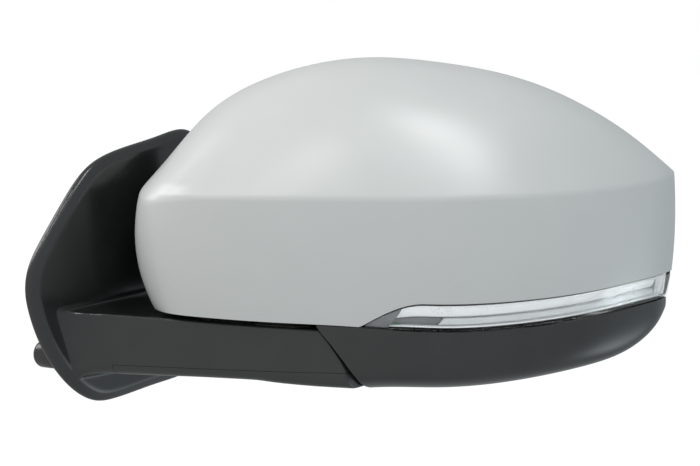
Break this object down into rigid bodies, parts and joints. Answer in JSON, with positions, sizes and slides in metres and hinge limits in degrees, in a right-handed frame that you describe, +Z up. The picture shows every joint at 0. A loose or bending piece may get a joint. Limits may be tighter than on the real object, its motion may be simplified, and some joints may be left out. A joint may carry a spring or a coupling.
{
  "type": "car side mirror",
  "caption": "Left door mirror: painted cap with turn-signal strip, folding head on a triangular sail foot, adjustable heated glass behind a black bezel.",
  "frame": {"origin": "middle of the foot's flat mounting face, which lies on the door", "axes": "+X out of the car from the door, +Y towards the rear of the car (the glass faces it), +Z up"},
  "size_m": [0.2579, 0.2511, 0.1746],
  "materials": {
    "cap_primer": "satin silver-grey primer paint on moulded plastic",
    "trim_black": "fine-grained semi-gloss black moulded plastic",
    "inner_black": "glass-filled black plastic",
    "seal_rubber": "soft foamed rubber",
    "bracket_cast": "die-cast, as cast",
    "steel": "zinc-plated",
    "gear_nylon": "natural nylon",
    "lens_clear": "clear polycarbonate",
    "lamp_bright": "vacuum-metallised",
    "board_green": "coated circuit board",
    "brass": "machined",
    "mirror_silver": "silvered glass"
  },
  "bodies": {
    "foot": {"base_bracket": "bracket_cast", "base_cover": "trim_black", "arm_lower_cover": "trim_black", "base_gasket": "seal_rubber", "mounting_stud_front": "steel", "mounting_stud_upper": "steel", "mounting_stud_lower": "steel", "locating_peg": "inner_black", "connector_socket": "inner_black", "pivot_post": "steel", "fold_ring_gear": "steel", "clutch_ring": "steel", "pivot_spring": "steel", "spring_washer": "steel", "retaining_clip": "steel", "foot_loom": "seal_rubber"},
    "head": {"front_cover": "cap_primer", "lower_cover": "trim_black", "floor_panel": "inner_black", "rear_bezel": "trim_black", "head_frame": "inner_black", "fold_case": "inner_black", "fold_case_lid": "inner_black", "fold_case_screw_1": "steel", "fold_case_screw_2": "steel", "fold_case_screw_3": "steel", "fold_motor": "steel", "pivot_bush": "gear_nylon", "frame_screw_upper": "steel", "frame_screw_lower": "steel", "actuator_case": "inner_black", "actuator_cover": "inner_black", "actuator_screw_1": "steel", "actuator_screw_2": "steel", "actuator_screw_3": "steel", "yaw_motor": "steel", "pitch_motor": "steel", "lamp_lens": "lens_clear", "lamp_reflector": "lamp_bright", "lamp_housing": "inner_black", "light_guide": "lens_clear", "lamp_board": "board_green", "bezel_screw_upper": "steel", "bezel_screw_lower": "steel", "head_loom": "seal_rubber"},
    "glass": {"glass_carrier": "inner_black", "heater_pad": "board_green", "mirror_glass": "mirror_silver"},
    "fold_worm": {"fold_worm": "brass"},
    "cardan_ring": {"cardan_ring": "gear_nylon"},
    "yaw_plunger": {"yaw_plunger": "gear_nylon"},
    "pitch_plunger": {"pitch_plunger": "gear_nylon"},
    "yaw_nut": {"yaw_nut": "gear_nylon"},
    "pitch_nut": {"pitch_nut": "gear_nylon"}
  },
  "joints": [
    {"name": "head_fold", "type": "hinge", "parent": "foot", "child": "head", "pos_m": [0.094, 0.02, -0.02], "axis": [0.0487, -0.0086, 0.9988], "range_deg": [-55, 65]},
    {"name": "fold_worm_spin", "type": "hinge", "parent": "head", "child": "fold_worm", "pos_m": [0.1099, 0.03055, -0.00667], "axis": [-0.5727, 0.819, 0.035], "range_deg": [-1330, 1570]},
    {"name": "glass_yaw", "type": "hinge", "parent": "head", "child": "cardan_ring", "pos_m": [0.14011, 0.09013, 0.038], "axis": [0, 0, 1], "range_deg": [-8, 8]},
    {"name": "glass_pitch", "type": "hinge", "parent": "cardan_ring", "child": "glass", "pos_m": [0.14011, 0.09013, 0.038], "axis": [0.8192, 0.5736, 0], "range_deg": [-8, 8]},
    {"name": "yaw_plunger_slide", "type": "slide", "parent": "head", "child": "yaw_plunger", "axis": [-0.5736, 0.8192, 0], "range_m": [-0.0036, 0.0036]},
    {"name": "pitch_plunger_slide", "type": "slide", "parent": "head", "child": "pitch_plunger", "axis": [-0.5736, 0.8192, 0], "range_m": [-0.0036, 0.0036]},
    {"name": "yaw_nut_spin", "type": "hinge", "parent": "head", "child": "yaw_nut", "pos_m": [0.17063, 0.09014, 0.038], "axis": [-0.5736, 0.8192, 0], "range_deg": [-215, 215]},
    {"name": "pitch_nut_spin", "type": "hinge", "parent": "head", "child": "pitch_nut", "pos_m": [0.15015, 0.0758, 0.013], "axis": [-0.5736, 0.8192, 0], "range_deg": [-215, 215]}
  ],
  "couplings": [
    {"joint": "fold_worm_spin", "follows": "head_fold", "ratio": 24},
    {"joint": "yaw_plunger_slide", "follows": "glass_yaw", "m_per_rad": 0.025},
    {"joint": "pitch_plunger_slide", "follows": "glass_pitch", "m_per_rad": 0.025},
    {"joint": "yaw_nut_spin", "follows": "glass_yaw", "ratio": 26.18},
    {"joint": "pitch_nut_spin", "follows": "glass_pitch", "ratio": 26.18}
  ]
}
